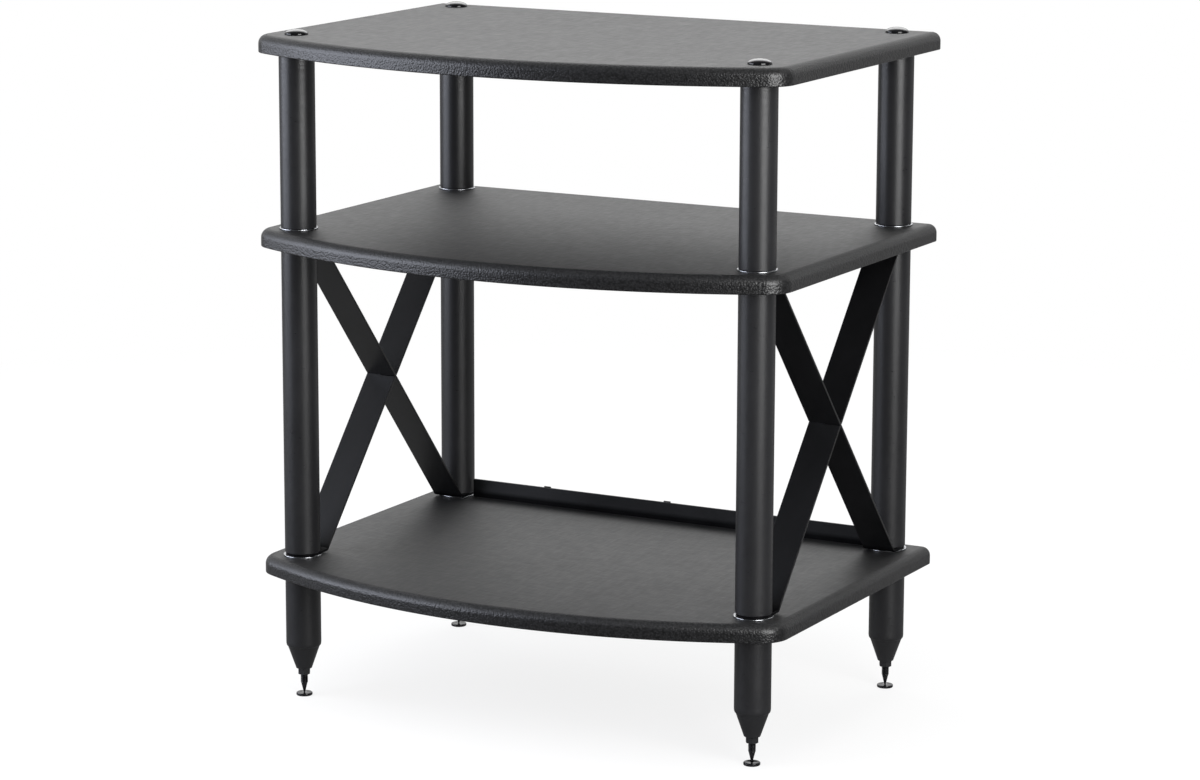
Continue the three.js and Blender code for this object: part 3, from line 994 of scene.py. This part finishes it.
def backdrop_share(nodes, links, vector, start, end, dark, light):
    """From dark on the camera's side of the studio to light at the backdrop, along a level line."""
    along = nodes.new("ShaderNodeVectorMath")
    along.operation = "DOT_PRODUCT"
    along.inputs[1].default_value = (-math.sin(CAMERA_AZIMUTH), math.cos(CAMERA_AZIMUTH), 0)
    links.new(vector, along.inputs[0])
    return map_range(nodes, links, along.outputs["Value"], start, end, dark, light, "SMOOTHSTEP")


def floor():
    bpy.ops.mesh.primitive_plane_add(size=60, location=(0, 0, 0))
    plane = bpy.context.object
    plane.name = "floor"
    material, nodes, links, shader = new_material("pale_floor")
    shader.inputs["Base Color"].default_value = (0.85, 0.85, 0.85, 1)
    shader.inputs["Roughness"].default_value = 0.9
    shader.inputs["Specular IOR Level"].default_value = 0.0
    path = nodes.new("ShaderNodeLightPath")
    place = nodes.new("ShaderNodeTexCoord").outputs["Object"]
    lit = backdrop_share(nodes, links, place, *FLOOR_LIGHTENS, STUDIO_DARK, FLOOR_MIRRORED)
    glossy, through = path.outputs["Is Glossy Ray"], path.outputs["Is Transmission Ray"]
    mirrored = maximum(nodes, links, glossy, through)
    glow = nodes.new("ShaderNodeEmission")
    links.new(maximum(nodes, links, path.outputs["Is Camera Ray"], lit), glow.inputs["Strength"])
    distance = nodes.new("ShaderNodeVectorMath")
    distance.operation = "LENGTH"
    links.new(place, distance.inputs[0])
    away = distance.outputs["Value"]
    glow_share = map_range(nodes, links, away, SHADOW_NEAR, SHADOW_FAR, FLOOR_GLOW, 1)
    seen = calculate(nodes, links, "MULTIPLY", path.outputs["Is Camera Ray"], glow_share)
    share = maximum(nodes, links, seen, mirrored)
    mix = nodes.new("ShaderNodeMixShader")
    links.new(share, mix.inputs["Fac"])
    links.new(shader.outputs["BSDF"], mix.inputs[1])
    links.new(glow.outputs["Emission"], mix.inputs[2])
    links.new(mix.outputs["Shader"], nodes["Material Output"].inputs["Surface"])
    plane.data.materials.append(material)


def world():
    scene_world = bpy.data.worlds.new("studio")
    bpy.context.scene.world = scene_world
    scene_world.use_nodes = True
    nodes = scene_world.node_tree.nodes
    links = scene_world.node_tree.links
    nodes.clear()
    path = nodes.new("ShaderNodeLightPath")
    direction = nodes.new("ShaderNodeTexCoord").outputs["Generated"]
    across = backdrop_share(nodes, links, direction, *STUDIO_LIGHTENS, STUDIO_DARK, 1)
    upward = height_of(nodes, links, direction)
    climb = map_range(nodes, links, upward, 0, BACKDROP_RISE, BACKDROP_LOW, BACKDROP_HIGH)
    lit = calculate(nodes, links, "MULTIPLY", across, climb)
    mirrored = calculate(nodes, links, "MULTIPLY", path.outputs["Is Glossy Ray"], lit)
    seen = maximum(nodes, links, path.outputs["Is Camera Ray"], path.outputs["Is Transmission Ray"])
    white_share = maximum(nodes, links, seen, mirrored)
    white = nodes.new("ShaderNodeBackground")
    white.inputs["Color"].default_value = (1, 1, 1, 1)
    links.new(white_share, white.inputs["Strength"])
    dim = nodes.new("ShaderNodeBackground")
    dim.inputs["Color"].default_value = (STUDIO_FILL, STUDIO_FILL, STUDIO_FILL, 1)
    mix = nodes.new("ShaderNodeMixShader")
    direct = maximum(nodes, links, seen, path.outputs["Is Glossy Ray"])
    links.new(direct, mix.inputs["Fac"])
    links.new(dim.outputs["Background"], mix.inputs[1])
    links.new(white.outputs["Background"], mix.inputs[2])
    output = nodes.new("ShaderNodeOutputWorld")
    links.new(mix.outputs["Shader"], output.inputs["Surface"])


def lamp_at(name, kind, azimuth, elevation, distance, energy, colour=(1, 1, 1)):
    """A lamp aimed at the middle of the rack. Azimuth 0 is in front, 90 on the right."""
    target = Vector(LAMP_TARGET)
    a, e = math.radians(azimuth), math.radians(elevation)
    away = Vector((math.sin(a) * math.cos(e), -math.cos(a) * math.cos(e), math.sin(e)))
    place = target + distance * away
    lamp = bpy.data.lights.new(name, kind)
    lamp.energy = energy
    lamp.color = colour
    holder = bpy.data.objects.new(name, lamp)
    holder.location = place
    holder.rotation_euler = (target - place).to_track_quat("-Z", "Y").to_euler()
    holder.visible_camera = False
    bpy.context.scene.collection.objects.link(holder)
    return lamp


def softbox(name, azimuth, elevation, distance, width, height, energy, colour=(1, 1, 1)):
    lamp = lamp_at(name, "AREA", azimuth, elevation, distance, energy, colour)
    lamp.shape = "RECTANGLE"
    lamp.size = width
    lamp.size_y = height


def overhead(energy):
    """A broad lamp far overhead, which lights the floor evenly."""
    lamp = lamp_at("overhead", "SUN", -20, 70, 8, energy)
    lamp.angle = math.radians(50)
    bpy.data.objects["overhead"].visible_glossy = False


def camera():
    data = bpy.data.cameras.new("camera")
    data.lens = CAMERA_LENS
    data.sensor_width = 36
    holder = bpy.data.objects.new("camera", data)
    turn = (Matrix.Rotation(CAMERA_AZIMUTH, 4, "Z")
            @ Matrix.Rotation(math.pi / 2 - CAMERA_PITCH, 4, "X")
            @ Matrix.Rotation(CAMERA_ROLL, 4, "Z"))
    holder.matrix_world = Matrix.Translation(CAMERA_PLACE) @ turn
    bpy.context.scene.collection.objects.link(holder)
    bpy.context.scene.camera = holder


# The rack

camera()

pillar_places = [seat(f"{leg}_lower_tube")[0][:2] for leg in LEGS]
bracket_screws = [f"{place}_rail_screw" for place in ("left", "middle", "right")]
for shelf_name in ("bottom_shelf", "middle_shelf", "top_shelf"):
    shelf(shelf_name, pillar_places)

for leg in LEGS:
    pillar_tube(f"{leg}_upper_tube")
    pillar_tube(f"{leg}_lower_tube")
    foot_tube(f"{leg}_foot_tube")
    foot_cone(f"{leg}_foot_cone")
    cap(f"{leg}_cap")
    rings_and_studs(leg)
    spike(f"{leg}_spike", f"{leg}_spike_body")
    lock_nut(f"{leg}_lock_nut", f"{leg}_lock_nut_body")
    floor_disc(f"{leg}_floor_disc", f"{leg}_floor_disc_body")

for rack_side in SIDES_OF_RACK:
    brace(rack_side, falling=False)
    brace(rack_side, falling=True)

record_rail()
for screw in bracket_screws:
    rail_bracket(screw.replace("screw", "bracket"))
    rail_screw(screw)

floor()
world()
softbox("right_softbox", 61, 16, 2.5, 1.45, 1.9, 72)
softbox("left_softbox", -55, 14, 2.5, 2.2, 1.7, 62, (0.84, 0.88, 1))
softbox("rear_softbox", 206, 39, 3.2, 4.0, 1.8, 55)
overhead(1.4)

bpy.context.scene.view_settings.view_transform = "Standard"
